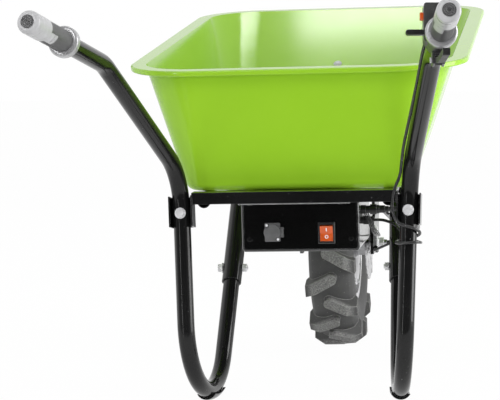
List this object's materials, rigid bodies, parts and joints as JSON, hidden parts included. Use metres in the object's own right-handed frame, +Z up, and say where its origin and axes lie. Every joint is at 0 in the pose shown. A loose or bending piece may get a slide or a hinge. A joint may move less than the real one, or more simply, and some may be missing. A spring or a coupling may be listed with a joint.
{
  "type": "electric wheelbarrow",
  "caption": "Electric wheelbarrow with a deep pressed tray, bent tube handles and legs, a hub-motor wheel, a battery box, a thumb throttle and a brake lever.",
  "frame": {"origin": "middle of the bounding box on the ground", "axes": "+Z up, +Y forward to the wheel, +X to the right of the person who pushes"},
  "size_m": [0.6084, 1.4362, 0.6552],
  "materials": {
    "black_paint": "gloss",
    "green_paint": "semi-gloss",
    "zinc_steel": "satin",
    "disc_steel": "satin",
    "cast_aluminium": "satin",
    "copper": "satin",
    "tyre_rubber": "matte",
    "soft_rubber": "matte",
    "cable_sheath": "satin",
    "black_plastic": "satin",
    "grey_plastic": "satin",
    "pale_grey_plastic": "satin",
    "red_plastic": "gloss",
    "blue_wrap": "gloss"
  },
  "bodies": {
    "frame": {"axle": "zinc_steel", "axle_nuts": "zinc_steel", "battery_box": "black_paint", "battery_pack": "blue_wrap", "box_cover": "black_paint", "brake_cable": "cable_sheath", "brake_caliper": "black_paint", "brake_pads": "black_plastic", "brake_perch": "black_plastic", "cable_connector": "black_plastic", "cable_glands": "black_plastic", "charge_socket": "grey_plastic", "control_cable": "cable_sheath", "control_housing": "black_plastic", "frame_bolts": "zinc_steel", "front_cross_bar": "black_paint", "front_hoop": "black_paint", "grip_collars": "pale_grey_plastic", "grip_end_caps": "black_plastic", "grip_palms": "pale_grey_plastic", "left_foot_plate": "black_paint", "left_fork_plate": "black_paint", "left_grip": "soft_rubber", "left_handle_tube": "black_paint", "left_leg_bracket": "black_paint", "left_leg_sleeve": "black_paint", "left_rail": "black_paint", "lever_pivot": "zinc_steel", "middle_cross_bar": "black_paint", "motor_cable": "cable_sheath", "motor_controller": "black_plastic", "panel_screws": "zinc_steel", "rear_cross_bar": "black_paint", "right_foot_plate": "black_paint", "right_fork_plate": "black_paint", "right_grip": "soft_rubber", "right_handle_tube": "black_paint", "right_leg_bracket": "black_paint", "right_leg_sleeve": "black_paint", "right_rail": "black_paint", "stator": "disc_steel", "stator_coils": "copper", "switch_housing": "black_plastic", "tray": "green_paint", "tray_bolts": "zinc_steel"},
    "wheel": {"motor_rim": "cast_aluminium", "magnets": "disc_steel", "left_motor_cover": "cast_aluminium", "right_motor_cover": "cast_aluminium", "wheel_screws": "zinc_steel", "wheel_bearings": "zinc_steel", "tyre": "tyre_rubber", "inner_tube": "soft_rubber", "brake_disc": "disc_steel"},
    "lever": {"brake_lever": "black_paint"},
    "arm": {"brake_arm": "zinc_steel"},
    "throttle": {"throttle_lever": "black_plastic"},
    "button": {"push_button": "red_plastic"},
    "rocker": {"rocker": "red_plastic"},
    "cap": {"socket_cap": "grey_plastic"}
  },
  "joints": [
    {"name": "wheel_spin", "type": "hinge", "parent": "frame", "child": "wheel", "pos_m": [0, 0.4975, 0.195], "axis": [1, 0, 0], "continuous": true},
    {"name": "lever_pull", "type": "hinge", "parent": "frame", "child": "lever", "pos_m": [0.26093, -0.5325, 0.56806], "axis": [-0.9903, -0.1353, 0.032], "range_deg": [0, 8], "stiffness_Nm_per_rad": 2, "springref_deg": -5.73},
    {"name": "arm_turn", "type": "hinge", "parent": "frame", "child": "arm", "pos_m": [0.0773, 0.44452, 0.22317], "axis": [-1, 0, 0], "range_deg": [0, 25], "stiffness_Nm_per_rad": 0.2},
    {"name": "throttle_turn", "type": "hinge", "parent": "frame", "child": "throttle", "pos_m": [0.26824, -0.57676, 0.60729], "axis": [0.139, -0.9638, 0.2277], "range_deg": [0, 35], "stiffness_Nm_per_rad": 0.15, "springref_deg": -17.19},
    {"name": "button_press", "type": "slide", "parent": "frame", "child": "button", "axis": [0.9903, 0.1353, -0.032], "range_m": [0, 0.002], "stiffness_N_per_m": 800, "springref_m": -0.001},
    {"name": "rocker_switch", "type": "hinge", "parent": "frame", "child": "rocker", "pos_m": [0.044, -0.083, 0.277], "axis": [-1, 0, 0], "range_deg": [0, 16]},
    {"name": "cap_open", "type": "hinge", "parent": "frame", "child": "cap", "pos_m": [-0.0293, -0.0903, 0.279], "axis": [0, 0, 1], "range_deg": [0, 120]}
  ],
  "couplings": [
    {"joint": "arm_turn", "follows": "lever_pull", "ratio": 3.125}
  ]
}
